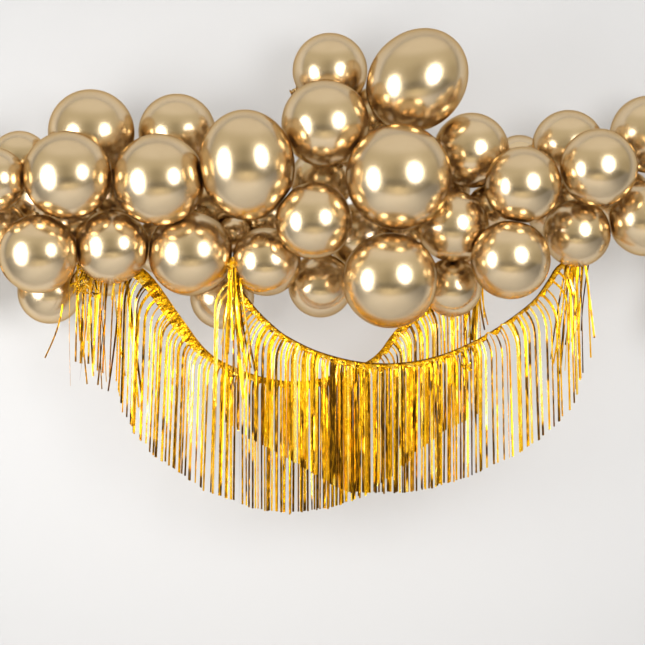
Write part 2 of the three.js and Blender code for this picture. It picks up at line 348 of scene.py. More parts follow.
@dataclass
class Balloon:
    """One inflated body: its middle, the way its neck points, its radius and how long it is."""

    node: str
    centre: np.ndarray
    axis: np.ndarray
    radius: float
    stretch: float
    layer: Layer

    NECK_FIT = 0.012     # corners this near the axis belong to the neck
    CORNER_GAIN = 1.02   # the solid's corners stand this much outside the true round

    @classmethod
    def from_node(cls, node: str) -> "Balloon":
        """Fits a balloon to the corners of its solid.

        The two corners where most edges meet are the crown and the end of the neck, and give the
        axis. With u along the axis and w off it, free corners lie on A u^2 + B u + C w^2 = 1.
        Corners that are pressed in fall inside that line and are dropped, round by round.

        Args:
            node: Name of the balloon's node in the frame.

        Returns:
            The fitted balloon.
        """
        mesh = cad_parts[node].data
        points = np.zeros(len(mesh.vertices) * 3)
        mesh.vertices.foreach_get("co", points)
        points, merged = np.unique(np.round(points.reshape(-1, 3), 6), axis=0, return_inverse=True)
        faces = np.zeros(len(mesh.loops), int)
        mesh.loops.foreach_get("vertex_index", faces)
        faces = merged.ravel()[faces].reshape(-1, 3)
        edges = np.unique(np.sort(faces[:, [0, 1, 1, 2, 2, 0]].reshape(-1, 2), axis=1), axis=0)
        valence = np.bincount(edges.ravel(), minlength=len(points))
        spread = np.zeros(len(points))
        lengths = np.linalg.norm(points[edges[:, 0]] - points[edges[:, 1]], axis=1)
        for side in (0, 1):
            np.add.at(spread, edges[:, side], lengths)
        ends = np.argsort(valence)[-2:]
        tip, crown = sorted(ends, key=lambda k: spread[k] / valence[k])
        axis = unit(points[tip] - points[crown])
        along = (points - points[crown]) @ axis
        off = np.linalg.norm(points - points[crown] - along[:, None] * axis, axis=1)
        stretch = STRETCH.get(node, 1.0)
        kept = (off > cls.NECK_FIT) & (along < along[tip])
        for _ in range(12):
            u, w = along[kept], off[kept]
            rows = np.stack([2.0 * u, np.ones_like(u)], axis=1)
            middle, rest = np.linalg.lstsq(rows, u * u + (stretch * w) ** 2, rcond=None)[0]
            long = math.sqrt(rest + middle * middle)
            reach = np.sqrt((along - middle) ** 2 + (stretch * off) ** 2) / long
            kept = (off > cls.NECK_FIT) & (along < along[tip]) & (reach > 0.992) & (reach < 1.03)
        radius = long / stretch / cls.CORNER_GAIN
        layer = Layer.BACK if node.startswith(("balloon_back", "balloon_close")) else Layer.FRONT
        return cls(node, points[crown] + middle * axis, axis, radius, stretch, layer)

    def reach(self, direction: np.ndarray) -> float:
        """Radius of the body towards a direction."""
        c = float(direction @ self.axis)
        return 1.0 / math.sqrt((c / (self.radius * self.stretch)) ** 2 + (1.0 - c * c) / self.radius ** 2)


@dataclass
class NeckShape:
    """Sizes of a tied neck: a short tube, a knot and the rolled lip beyond it."""

    length: float = 20 * MM
    tube: float = 5.0 * MM
    knot: float = 6.2 * MM
    lip: float = 8.2 * MM

    def profile(self, long: float, radius: float, rows: int) -> tuple[np.ndarray, np.ndarray, np.ndarray]:
        """Half outline of a balloon from its crown to the end of its neck.

        The body is half an ellipse whose lower part narrows by a few hundredths, and is drawn
        into the tube over its last stretch. The neck is a tube, a round knot and a flared lip.

        Args:
            long: Half length of the body.
            radius: Half width of the body.
            rows: Points on the body.

        Returns:
            Place along the axis, distance off it, and how far the skin is drawn in.
        """
        angle = np.linspace(0.0, math.radians(173.0), rows)
        along = -np.cos(angle) * long
        off = np.sin(angle) * radius * (1.0 - 0.05 * np.clip(-np.cos(angle), 0.0, 1.0) ** 2)
        draw = smooth_step(math.radians(150.0), math.radians(173.0), angle)
        off = off * (1.0 - 0.35 * draw) + self.tube * 0.35 * draw
        t = np.array([0.10, 0.22, 0.34, 0.42, 0.50, 0.58, 0.66, 0.74, 0.84, 0.94, 1.0, 0.97, 0.86])
        w = np.array([1.3, 1.0, 0.95, 1.0, 1.22, 1.28, 1.05, 0.72, 0.95, 1.45, 1.6, 1.5, 1.1]) * self.tube
        along = np.concatenate([along, long + t * self.length])
        off = np.concatenate([off, np.minimum(w, self.lip)])
        drawn = smooth_step(math.radians(140.0), math.radians(176.0), np.concatenate(
            [angle, np.full(len(t), math.radians(176.0))]))
        return along, off, drawn


@dataclass
class Bouquet:
    """All the balloons, packed together and pressed flat where they meet."""

    neck: NeckShape = field(default_factory=NeckShape)
    gap: float = 0.2 * MM
    fillet: float = 2.6 * MM
    wall_clear: float = 1.9 * MM
    balloons: list[Balloon] = field(default_factory=list)

    def fit(self) -> None:
        """Fits one balloon to each balloon node of the frame."""
        names = sorted(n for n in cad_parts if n.startswith("balloon_"))
        self.balloons = [Balloon.from_node(n) for n in names]

    def walls(self, balloon: Balloon) -> list[tuple[np.ndarray, float]]:
        """Planes that keep a balloon's skin off its neighbours and off the wall.

        Between two bodies the plane stands square to the line of centres and divides it as their
        radii along that line are to each other.

        Args:
            balloon: The balloon to keep in its place.

        Returns:
            Direction and distance from the balloon's middle of each plane.
        """
        found = [(np.array([0.0, 1.0, 0.0]), -self.wall_clear - balloon.centre[1])]
        for other in self.balloons:
            apart = other.centre - balloon.centre
            distance = float(np.linalg.norm(apart))
            if other is balloon or distance > balloon.radius + other.radius + 3.2 * self.neck.length:
                continue
            way = apart / distance
            mine, theirs = balloon.reach(way), other.reach(way)
            found.append((way, distance * mine / (mine + theirs) - self.gap / 2))
        return found

    def skin(self, balloon: Balloon) -> tuple[np.ndarray, np.ndarray, np.ndarray, np.ndarray]:
        """Points and faces of one balloon: its outline turned about its axis, then pressed.

        A point that stands a distance s past a plane is moved back by f ln(1 + e^(s / f)), which
        rounds the rim of the flat over the fillet f.

        Args:
            balloon: The balloon to draw.

        Returns:
            Points, quads, triangles and how far each point is drawn in.
        """
        sides, rows = balloon.layer.value
        along, off, drawn = self.neck.profile(balloon.radius * balloon.stretch, balloon.radius, rows)
        helper = np.array([0.0, 0.0, 1.0]) if abs(balloon.axis[2]) < 0.8 else np.array([1.0, 0.0, 0.0])
        first = unit(np.cross(helper, balloon.axis))
        second = np.cross(balloon.axis, first)
        turn = np.linspace(0.0, 2.0 * math.pi, sides, endpoint=False)
        round_it = np.cos(turn)[:, None] * first + np.sin(turn)[:, None] * second
        rings = along[1:, None, None] * balloon.axis + off[1:, None, None] * round_it
        crown = along[0] * balloon.axis
        end = along[-1] * balloon.axis
        points = np.concatenate([crown[None], rings.reshape(-1, 3), end[None]])
        for way, distance in self.walls(balloon):
            past = points @ way - distance
            push = self.fillet * np.logaddexp(0.0, past / self.fillet)
            points = points - push[:, None] * way
        count = len(along) - 1
        quads = tube_quads(count, sides, 1)
        side = np.arange(sides)
        after = (side + 1) % sides
        low = np.stack([np.zeros(sides, int), 1 + after, 1 + side], axis=1)
        base = 1 + (count - 1) * sides
        high = np.stack([np.full(sides, len(points) - 1), base + side, base + after], axis=1)
        mark = np.concatenate([drawn[:1], np.repeat(drawn[1:], sides), drawn[-1:]])
        return points + balloon.centre, quads, np.concatenate([low, high]), mark

    def build(self, latex: bpy.types.Material) -> list[bpy.types.Object]:
        """Draws every balloon, dresses it and sets it in place of its solid.

        Args:
            latex: Material of the skins.

        Returns:
            The skins.
        """
        made = []
        for balloon in self.balloons:
            points, quads, triangles, drawn = self.skin(balloon)
            skin = mesh_object(balloon.node.replace("balloon_", "latex_"), points, quads, triangles,
                               {"drawn_in": drawn})
            skin.data.materials.append(latex)
            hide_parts(balloon.node)
            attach(skin, "root")
            made.append(skin)
        return made


# ---- fringe -----------------------------------------------------------------------------------


@dataclass
class Line:
    """A smooth line through given places, with its length measured along it."""

    places: np.ndarray

    def __post_init__(self) -> None:
        """Rounds the corners by three passes that cut each one at a quarter and three quarters."""
        curve = np.asarray(self.places, float)
        for _ in range(3):
            near = curve[:-1] * 0.75 + curve[1:] * 0.25
            far = curve[:-1] * 0.25 + curve[1:] * 0.75
            middle = np.stack([near, far], axis=1).reshape(-1, curve.shape[1])
            curve = np.concatenate([curve[:1], middle, curve[-1:]])
        steps = np.linalg.norm(np.diff(curve, axis=0), axis=1)
        self.run = np.concatenate([[0.0], np.cumsum(steps)])
        self.curve = curve
        self.length = float(self.run[-1])

    def at(self, distance: np.ndarray) -> np.ndarray:
        """Places at distances along the line."""
        return np.stack([np.interp(distance, self.run, self.curve[:, k])
                         for k in range(self.curve.shape[1])], axis=-1)

    def heading(self, distance: np.ndarray) -> np.ndarray:
        """Directions of the line at distances along it, over a span of 12 mm."""
        return unit(self.at(distance + 6 * MM) - self.at(distance - 6 * MM))


@dataclass
class Strips:
    """Narrow foil strips, kept as whole arrays until they are drawn as one piece."""

    width: float = 4.6 * MM
    thickness: float = 0.16 * MM
    steps: int = 22
    paths: list[np.ndarray] = field(default_factory=list)
    turns: list[np.ndarray] = field(default_factory=list)
    tones: list[np.ndarray] = field(default_factory=list)
    wide: list[np.ndarray] = field(default_factory=list)

    def add(self, paths: np.ndarray, turns: np.ndarray, tones: np.ndarray, wide: np.ndarray) -> None:
        """Keeps a batch of strips.

        Args:
            paths: Middle lines, strips by steps by three.
            turns: Angle of each step's face about its own line, 0 facing the room.
            tones: Tone of each step of each strip, painted light and shade.
            wide: Width of each strip.
        """
        self.paths.append(paths)
        self.turns.append(turns)
        self.tones.append(tones)
        self.wide.append(wide)

    def draw(self, name: str) -> bpy.types.Object:
        """Draws all kept strips as flat closed tubes with four corners to a ring.

        At each step the strip's width lies along cos(turn) X' + sin(turn) Y', where X' is level
        and square to its line and Y' points to the wall.

        Args:
            name: Name of the piece.

        Returns:
            The piece.
        """
        paths, turns = np.concatenate(self.paths), np.concatenate(self.turns)
        tones, wide = np.concatenate(self.tones), np.concatenate(self.wide)
        count, steps = turns.shape
        tangent = unit(np.gradient(paths, axis=1))
        level = unit(np.cross(np.array([0.0, 1.0, 0.0]), tangent))
        deep = np.cross(tangent, level)
        across = np.cos(turns)[..., None] * level + np.sin(turns)[..., None] * deep
        face = np.cross(tangent, across) * self.thickness / 2
        across = across * (wide / 2)[:, None, None]
        ring = np.stack([paths + across + face, paths - across + face,
                         paths - across - face, paths + across - face], axis=2)
        one = tube_quads(steps, 4)
        caps = np.array([[3, 2, 1, 0], [4 * steps - 4, 4 * steps - 3, 4 * steps - 2, 4 * steps - 1]])
        one = np.concatenate([one, caps])
        quads = (one[None] + (np.arange(count) * steps * 4)[:, None, None]).reshape(-1, 4)
        return mesh_object(name, ring.reshape(-1, 3), quads, None, {"tone": np.repeat(tones.ravel(), 4)},
                           smooth=False)


@dataclass(frozen=True)
class Bunch:
    """Loose strips that the band doesn't hold, set one by one at one depth.

    Each row gives where a strip comes out, where it ends, its tone of painted light and shade
    and its share of the width, with places in millimetres from the middle of the garland.
    """

    depth: float
    rows: tuple
    spread: float = 9.0

    def hang(self, strips: Strips, chance: np.random.Generator) -> None:
        """Draws each strip from its start to its end with a slight bow and a slow twist."""
        table = np.array(self.rows, float)
        count, steps = len(table), strips.steps
        t = np.linspace(0.0, 1.0, steps)[None]
        path = np.zeros((count, steps, 3))
        bow = chance.normal(0, 2.2, (count, 1)) * np.sin(math.pi * t)
        path[:, :, 0] = table[:, :1] + (table[:, 2:3] - table[:, :1]) * t ** 1.1 + bow
        path[:, :, 1] = self.depth + chance.normal(0, self.spread, (count, 1)) * (0.4 + 0.6 * t)
        path[:, :, 2] = table[:, 1:2] + (table[:, 3:4] - table[:, 1:2]) * t
        path = path * MM + np.array([HALF_SPAN, 0.0, 0.0])
        turns = chance.normal(0, 0.45, (count, 1)) + chance.normal(0, 0.8, (count, 1)) * t
        # Tones are painted light and shade, walking slowly along each strip.
        tones = table[:, 4:5] + np.cumsum(chance.normal(0, 0.06, (count, steps)), axis=1)
        strips.add(path, turns, np.clip(tones, 0.0, 1.0), strips.width * table[:, 5])


@dataclass(frozen=True)
class Knot:
    """Crumpled foil where strips are tied: short curls about one place."""

    place: tuple
    size: float
    count: int

    def curl(self, strips: Strips, chance: np.random.Generator) -> None:
        """Draws each curl as a sum of three sines a direction, with random phases."""
        t = np.linspace(0.0, 1.0, strips.steps)[None, :, None]
        path = np.zeros((self.count, strips.steps, 3))
        for order in (1, 2, 3):
            phase = chance.uniform(0, 2 * math.pi, (self.count, 1, 3))
            path += np.sin(order * math.pi * 1.3 * t + phase) / order
        path = path * np.array([0.45, 0.35, 0.6]) * self.size + chance.normal(0, self.size * 0.22,
                                                                              (self.count, 1, 3))
        path = (path + np.array(self.place)) * MM + np.array([HALF_SPAN, 0.0, 0.0])
        turns = np.cumsum(chance.normal(0, 0.35, (self.count, strips.steps)), axis=1)
        # Painted glints and painted shade of crumpled foil: random tones that walk along each curl.
        tones = np.clip(chance.uniform(0.15, 0.95, (self.count, 1))
                        + np.cumsum(chance.normal(0, 0.12, (self.count, strips.steps)), axis=1), 0, 1)
        strips.add(path, turns, tones, np.full(self.count, strips.width * 0.8))


@dataclass
class Swag:
    """One length of fringe: a folded band draped in a bow, and the strips that hang from it.

    Every table runs along the garland in millimetres from its middle. Strips hang in small
    clumps: pitch is the distance from clump to clump, and dark and pale the shares of each with painted shade
    and painted pale glare.
    """

    name: str
    node: str
    band: list[tuple[float, float, float]]
    rolls: list[tuple[float, float]]
    widths: list[tuple[float, float]]
    shade: list[tuple[float, float]]
    drops: list[tuple[float, float]]
    pitch: list[tuple[float, float]]
    bend: list[tuple[float, float]]
    drift: list[tuple[float, float]]
    dark: list[tuple[float, float]]
    pale: list[tuple[float, float]]
    seed: int
    rests_on: str
    bunches: tuple = ()
    knots: tuple = ()

    CLUMP = 1.25 * MM          # how far the strips of a clump stray from its middle
    BAND_STEP = 2.0 * MM       # from row to row along the band
    BAND_COLUMNS = 11          # corners across the band
    BAND_HALF = 0.25 * MM      # half the thickness of the folded film
    CRUMPLE = 0.34 * MM        # depth of the band's crumples
    TOWARDS_ROOM = 0.35        # how far a strip leaves the band towards the room
    CUT_ERROR = 1.5 * MM       # how unevenly the strips are cut
    LOOSE_SHARE = 0.3          # share of strips that are free to turn
    DASHED_SHARE = 0.34        # share of clumps with a stretch in the other painted tone, light or shade, where they twist
    TIPPED_SHARE = 0.22        # share of clumps with a painted dark end, a painted shade

    def __post_init__(self) -> None:
        """Makes the band's smooth line and the swag's own source of chance."""
        places = np.array(self.band, float) * MM
        places[:, 0] += HALF_SPAN
        self.line = Line(places)
        self.chance = np.random.default_rng(self.seed)

    def by_place(self, pairs: list[tuple[float, float]], x: np.ndarray) -> np.ndarray:
        """Reads a value that is given against the place along the garland, in millimetres."""
        table = np.array(pairs, float)
        return np.interp((x - HALF_SPAN) / MM, table[:, 0], table[:, 1])

    def band_piece(self) -> bpy.types.Object:
        """The folded band: a ribbon that follows the line and rolls about it, finely crumpled.

        Across the band v runs from its fold at -1 to the roots of the strips at 1. The crumple
        grows towards the roots: it is a sum of sines along the band with random phases, and its
        steepness also paints light and shade on the foil, lighter or darker by slope.

        Returns:
            The band as one closed piece.
        """
        rows, cols = int(self.line.length / self.BAND_STEP), self.BAND_COLUMNS
        run = np.linspace(0.0, self.line.length, rows)
        spot, way = self.line.at(run), self.line.heading(run)
        down = unit(np.cross(way, np.array([0.0, 1.0, 0.0])))
        down = np.where(down[:, 2:3] > 0, -down, down)
        roll = np.radians(self.by_place(self.rolls, spot[:, 0]))
        into = np.array([0.0, -1.0, 0.0])
        wide = np.cos(roll)[:, None] * down + np.sin(roll)[:, None] * into
        v = np.linspace(-1.0, 1.0, cols)
        face = np.cross(way, wide)
        crumple = np.zeros((rows, cols))
        for _ in range(14):
            step = self.chance.uniform(8 * MM, 50 * MM)
            skew = self.chance.uniform(-2.0, 2.0)
            phase = self.chance.uniform(0, 2 * math.pi)
            crumple += np.sin(run[:, None] / step * 2 * math.pi + skew * v[None] + phase) * step / (9 * MM)
        crumple += 2.2 * self.chance.normal(size=(rows, cols))
        grow = smooth_step(-1.0, 0.6, v)[None]
        half = self.by_place(self.widths, spot[:, 0]) * MM / 2
        centre = spot[:, None] + wide[:, None] * v[None, :, None] * half[:, None, None]
        centre = centre + face[:, None] * (crumple * self.CRUMPLE * grow)[..., None]
        thin = face[:, None] * self.BAND_HALF
        front, back = centre + thin, centre - thin
        points = np.concatenate([front, back[:, ::-1]], axis=1).reshape(-1, 3)
        sides = 2 * cols
        quads = tube_quads(rows, sides)
        cap = np.stack([np.arange(cols - 1), np.arange(1, cols), sides - 2 - np.arange(cols - 1),
                        sides - 1 - np.arange(cols - 1)], axis=1)
        last = cap[:, ::-1] + (rows - 1) * sides
        # Painted light and shade across the band: the shade table paints the tone, mostly darker near the
        # fold and brighter towards the roots.
        base = np.interp(v, *np.array(self.shade, float).T)[None]
        slope = np.gradient(crumple, axis=0)
        # Painted light and shade of the crumples: steeper slopes are painted lighter or darker.
        tone = np.clip(base + grow * np.clip(slope * 0.16, -0.35, 0.35), 0.0, 1.0)
        tone = np.concatenate([tone, tone[:, ::-1]], axis=1).ravel()
        return mesh_object(f"{self.name}_band", points, np.concatenate([quads, cap, last]), None,
                           {"tone": tone})

    def clumps(self) -> tuple[np.ndarray, np.ndarray]:
        """Places of the strips in their clumps.

        Returns:
            Distance along the band of each strip, and the number of its clump.
        """
        start, end = self.line.curve[0, 0], self.line.curve[-1, 0]
        spots = [start]
        while spots[-1] < end:
            gap = float(self.by_place(self.pitch, np.array(spots[-1]))) * self.chance.uniform(0.72, 1.3)
            spots.append(spots[-1] + gap * MM)
        spots = np.array(spots[:-1])
        members = self.chance.choice([1, 2, 3], len(spots), p=[0.34, 0.44, 0.22])
        number = np.repeat(np.arange(len(spots)), members)
        place = np.clip(spots[number] + self.chance.normal(0, self.CLUMP, len(number)), start, end)
        return np.interp(place, self.line.curve[:, 0], self.line.run), number

    def tones(self, number: np.ndarray, x: np.ndarray, steps: int) -> np.ndarray:
        """Tones of the strips, which are painted light and shade: a clump is dark, gold or pale, with dashes
        and dark ends.

        Args:
            number: Clump of each strip.
            x: Place of each strip along the garland.
            steps: Steps to a strip.

        Returns:
            One tone to each step of each strip.
        """
        total = int(number.max()) + 1
        pick, shade = self.chance.random(total)[number], self.chance.random(total)[number]
        dark, pale = self.by_place(self.dark, x), self.by_place(self.pale, x)
        # Painted shade for dark clumps, gold between, painted glare for pale clumps.
        tone = 0.40 + 0.24 * shade
        tone = np.where(pick < dark, 0.02 + 0.20 * shade, tone)
        tone = np.where(pick > 1 - pale, 0.70 + 0.28 * shade, tone)
        tone = tone + self.chance.normal(0, 0.07, len(number))
        walk = np.cumsum(self.chance.normal(0, 0.035, (len(number), steps)), axis=1)
        tones = tone[:, None] + walk
        t = np.linspace(0.0, 1.0, steps)[None]
        middle = self.chance.uniform(0.05, 1.0, total)[number][:, None]
        reach = self.chance.uniform(0.03, 0.13, total)[number][:, None]
        chosen = self.chance.random(total)[number] < self.DASHED_SHARE
        dashed = (np.abs(t - middle) < reach) & chosen[:, None]
        tones = np.where(dashed, np.where(tones > 0.3, 0.10, 0.80), tones)
        tipped = (t > 0.93) & (self.chance.random(total)[number] < self.TIPPED_SHARE)[:, None]
        return np.clip(np.where(tipped, 0.06, tones), 0.0, 1.0)

    def hang(self, strips: Strips) -> None:
        """Hangs the strips: each leaves the band square to it and bends down over a short way.

        The share of straight down grows from 0 to 1 over the bend, and the path is the running
        sum of that direction.

        Args:
            strips: Where the strips are kept.
        """
        run, number = self.clumps()
        spot, way = self.line.at(run), self.line.heading(run)
        count, total = len(run), int(number.max()) + 1
        out = unit(np.cross(way, np.array([0.0, 1.0, 0.0])))
        out = np.where(out[:, 2:3] > 0, -out, out)
        out[:, 1] -= self.TOWARDS_ROOM
        out = unit(out)
        low = self.by_place(self.drops, spot[:, 0]) * MM
        low = low + self.chance.normal(0, self.CUT_ERROR, total)[number]
        length = spot[:, 2] - low
        t = np.linspace(0.0, 1.0, strips.steps)[None, :] ** 1.25
        here = t * length[:, None]
        bend = self.by_place(self.bend, spot[:, 0]) * MM * self.chance.uniform(0.85, 1.15, total)[number]
        share = smooth_step(0.0, 1.0, here / bend[:, None])
        lean = np.zeros((count, 1, 3))
        lean[:, 0, 0] = self.by_place(self.drift, spot[:, 0]) + self.chance.normal(0, 0.006, total)[number]
        lean[:, 0, 1] = self.chance.normal(0, 0.012, total)[number]
        path = (1 - share[..., None]) * out[:, None] + share[..., None] * (lean - np.array([0.0, 0.0, 1.0]))
        step = np.diff(here, axis=1)[..., None] * unit(path)[:, 1:]
        path = np.concatenate([np.zeros((count, 1, 3)), np.cumsum(step, axis=1)], axis=1)
        fall = length / np.maximum(-path[:, -1, 2], 1e-6)
        path[:, :, 2] *= fall[:, None]
        path = spot[:, None] + path
        path[:, :, 1] += self.chance.normal(0, 2.6 * MM, (count, 1)) * t
        loose = self.chance.random(count) < self.LOOSE_SHARE
        yaw = self.chance.normal(0, 1.0, (count, 1)) * np.where(loose, 0.9, 0.28)[:, None]
        wave = self.chance.normal(0, math.radians(5), (count, strips.steps))
        turns = yaw + self.chance.normal(0, 0.3, (count, 1)) * t + np.cumsum(wave, axis=1) * 0.5
        strips.add(path, turns, self.tones(number, spot[:, 0], strips.steps),
                   strips.width * self.chance.uniform(0.8, 1.1, count))


# In both swags, shade paints tone across the band, and dark and pale give the shares of strips painted in
# shade or in pale glare, by place.
REAR_SWAG = Swag(
    name="rear_fringe",
    node="fringe_rear",
    band=[(-592, -160, -166), (-520, -160, -161), (-457, -164, -175), (-414, -180, -211),
          (-354, -180, -300), (-294, -180, -377), (-222, -180, -420), (-138, -180, -449),
          (-60, -180, -458), (18, -180, -446), (131, -170, -401), (186, -130, -324),
          (246, -106, -281), (311, -104, -247), (376, -104, -218)],
    rolls=[(-592, 30), (-457, 12), (-354, 8), (-270, 30), (-222, 30), (-60, 40), (131, 40), (186, 10),
           (376, 20)],
    widths=[(-592, 30), (-457, 33), (-330, 30), (-262, 18), (-190, 20), (0, 22), (131, 18), (376, 22)],
    shade=[(-1.0, 0.60), (-0.90, 0.16), (-0.72, 0.22), (-0.5, 0.40), (0.2, 0.42), (0.55, 0.66), (1.0, 0.58)],
    drops=[(-592, -396), (-540, -415), (-470, -450), (-440, -523), (-362, -624), (-262, -708),
           (-162, -751), (-78, -763), (18, -749), (95, -722), (186, -636), (282, -569), (376, -528)],
    pitch=[(-592, 17), (-480, 16), (-450, 9.5), (-250, 8.5), (-180, 6.5), (-40, 5.6), (60, 7), (376, 8)],
    bend=[(-592, 95), (-440, 105), (-350, 80), (-262, 55), (-180, 40), (60, 40), (200, 75), (376, 75)],
    drift=[(-592, -0.03), (-350, -0.045), (-250, -0.03), (-150, 0.0), (100, 0.0), (376, 0.02)],
    dark=[(-592, 0.45), (-470, 0.12), (-250, 0.12), (-200, 0.30), (-140, 0.50), (-20, 0.45), (60, 0.25),
          (376, 0.08)],
    pale=[(-592, 0.1), (-450, 0.34), (-250, 0.26), (-200, 0.08), (-20, 0.06), (60, 0.20), (160, 0.45),
          (376, 0.4)],
    seed=SEED,
    rests_on="latex_lower_left_a",
    bunches=(
        Bunch(-175, (
            (-624, -262, -667, -391, 0.22, 1.0), (-606, -175, -606, -459, 0.95, 0.45),
            (-592, -180, -583, -350, 0.45, 1.0), (-588, -252, -565, -454, 0.30, 1.0),
            (-559, -228, -583, -444, 0.15, 1.0), (-554, -185, -564, -350, 0.55, 1.0),
            (-556, -252, -551, -435, 0.12, 1.0), (-537, -199, -549, -360, 0.60, 1.0),
            (-539, -228, -521, -449, 0.60, 0.6), (-511, -180, -539, -456, 0.20, 1.0),
            (-531, -276, -530, -466, 0.15, 0.6), (-484, -175, -515, -471, 0.06, 1.1),
            (-486, -204, -487, -483, 0.85, 0.6), (-472, -192, -443, -511, 0.20, 1.3),
            (-467, -209, -434, -490, 0.30, 1.1), (-568, -175, -573, -389, 0.70, 0.8),
            (-503, -204, -475, -435, 0.65, 0.8), (-496, -192, -506, -252, 0.60, 1.0),
            (-523, -185, -527, -276, 0.60, 1.0))),
        Bunch(-130, (
            (373, -193, 344, -336, 0.2, 1.2), (375, -193, 354, -344, 0.6, 1.0),
            (378, -193, 363, -349, 0.1, 1.4), (380, -193, 373, -349, 0.7, 1.0),
            (380, -193, 385, -344, 0.3, 1.0), (383, -193, 395, -324, 0.7, 1.2),
            (385, -193, 402, -312, 0.15, 1.0), (388, -193, 392, -295, 0.8, 0.8)))),
    knots=(Knot((-570, -185, -205), 34.0, 22), Knot((-215, -190, -425), 12.0, 8)),
)

# Here too shade, dark and pale set painted light and shade of the foil.
FRONT_SWAG = Swag(
    name="front_fringe",
    node="fringe_front",
    band=[(-218, -235, -206), (-162, -235, -281), (-121, -235, -319), (-90, -235, -343),
          (-6, -235, -386), (121, -235, -415), (258, -235, -401), (378, -235, -348),
          (498, -235, -264), (541, -194, -216), (575, -158, -163), (646, -155, -152)],
    rolls=[(-218, 35), (-121, 30), (-90, 40), (121, 35), (258, 45), (378, 60), (498, 60), (541, 30),
           (646, 20)],
    widths=[(-218, 20), (-100, 16), (121, 19), (300, 18), (400, 15), (646, 16)],
    shade=[(-1.0, 0.10), (-0.75, 0.06), (-0.5, 0.30), (-0.3, 0.55), (0.2, 0.74), (0.6, 0.80), (1.0, 0.50)],
    drops=[(-218, -484), (-186, -540), (-126, -588), (18, -684), (60, -708), (186, -708), (258, -696),
           (330, -672), (402, -636), (474, -588), (534, -528), (570, -492), (618, -420), (646, -350)],
    pitch=[(-218, 8), (-60, 7), (40, 5.2), (120, 4.8), (280, 5.4), (320, 8), (420, 9.5), (500, 13),
           (646, 15)],
    bend=[(-218, 105), (-120, 90), (-40, 50), (40, 32), (280, 34), (360, 60), (440, 90), (646, 110)],
    drift=[(-218, -0.02), (0, 0.0), (300, 0.0), (480, 0.03), (646, 0.03)],
    dark=[(-218, 0.08), (-20, 0.12), (30, 0.38), (95, 0.45), (125, 0.62), (270, 0.58), (310, 0.20),
          (420, 0.12), (560, 0.10), (646, 0.2)],
    pale=[(-218, 0.42), (-60, 0.30), (30, 0.10), (125, 0.08), (270, 0.12), (310, 0.25), (420, 0.40),
          (646, 0.4)],
    seed=SEED + 1,
    rests_on="latex_lower_left_b",
    bunches=(
        Bunch(-262, (
            (-220, -182, -230, -392, 0.45, 0.8), (-218, -177, -222, -380, 0.70, 1.0),
            (-216, -177, -204, -453, 0.15, 1.2), (-211, -177, -185, -484, 0.08, 1.5),
            (-209, -177, -195, -423, 0.30, 1.1), (-204, -177, -178, -423, 0.12, 1.2),
            (-199, -177, -159, -420, 0.25, 1.2), (-202, -177, -169, -413, 0.10, 1.0),
            (-213, -177, -239, -359, 0.75, 0.8), (-206, -177, -187, -376, 0.60, 1.2),
            (-197, -177, -171, -359, 0.80, 1.0), (-218, -177, -211, -347, 0.85, 1.0))),
        Bunch(-165, (
            (589, -151, 548, -394, 0.15, 1.0), (591, -151, 558, -406, 0.40, 1.0),
            (594, -151, 572, -430, 0.25, 1.0), (599, -151, 585, -423, 0.90, 0.5),
            (601, -151, 575, -377, 0.50, 1.0), (603, -151, 594, -372, 0.55, 1.0),
            (608, -151, 587, -360, 0.30, 1.0), (611, -151, 605, -346, 0.50, 1.0),
            (615, -151, 599, -353, 0.65, 1.0), (620, -151, 611, -329, 0.30, 1.0),
            (625, -151, 619, -351, 0.50, 0.9), (628, -151, 613, -324, 0.20, 1.0),
            (644, -146, 623, -326, 0.10, 0.8), (631, -146, 654, -343, 0.35, 1.1)))),
    knots=(Knot((-212, -262, -168), 15.0, 12), Knot((-205, -258, -205), 18.0, 10),
           Knot((340, -240, -410), 13.0, 7)),
)


@dataclass
class Fringe:
    """Both swags with their strips."""

    swags: tuple = (REAR_SWAG, FRONT_SWAG)

    def build(self, foil: bpy.types.Material, band_foil: bpy.types.Material) -> list[bpy.types.Object]:
        """Draws each swag's band and strips and sets them in place of its solid.

        Args:
            foil: Material of the strips.
            band_foil: Material of the folded bands.

        Returns:
            The pieces.
        """
        made = []
        for swag in self.swags:
            band = swag.band_piece()
            strips = Strips()
            swag.hang(strips)
            for bunch in swag.bunches:
                bunch.hang(strips, swag.chance)
            for knot in swag.knots:
                knot.curl(strips, swag.chance)
            hung = strips.draw(f"{swag.name}_strips")
            for piece, material in ((band, band_foil), (hung, foil)):
                piece.data.materials.append(material)
                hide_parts(swag.node)
                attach(piece, "root")
                made.append(piece)
        return made


# ---- studio -----------------------------------------------------------------------------------


@dataclass(frozen=True)
class SoftBox:
    """An oval panel of soft light that is aimed at the garland."""

    name: str
    place: tuple
    width: float
    height: float
    power: float
    colour: tuple = (1.0, 1.0, 1.0)

    def build(self, target: np.ndarray) -> bpy.types.Object:
        """Makes the light and turns it to the target."""
        light = bpy.data.lights.new(self.name, "AREA")
        light.shape = "ELLIPSE"
        light.size, light.size_y = self.width, self.height
        light.energy = self.power
        light.color = self.colour
        obj = bpy.data.objects.new(self.name, light)
        bpy.context.scene.collection.objects.link(obj)
        obj.location = self.place
        aim = unit(target - np.array(self.place))
        level = math.hypot(aim[0], aim[1])
        obj.rotation_euler = (math.atan2(level, -aim[2]), 0.0, math.atan2(-aim[0], aim[1]))
        obj.visible_camera = False
        return obj


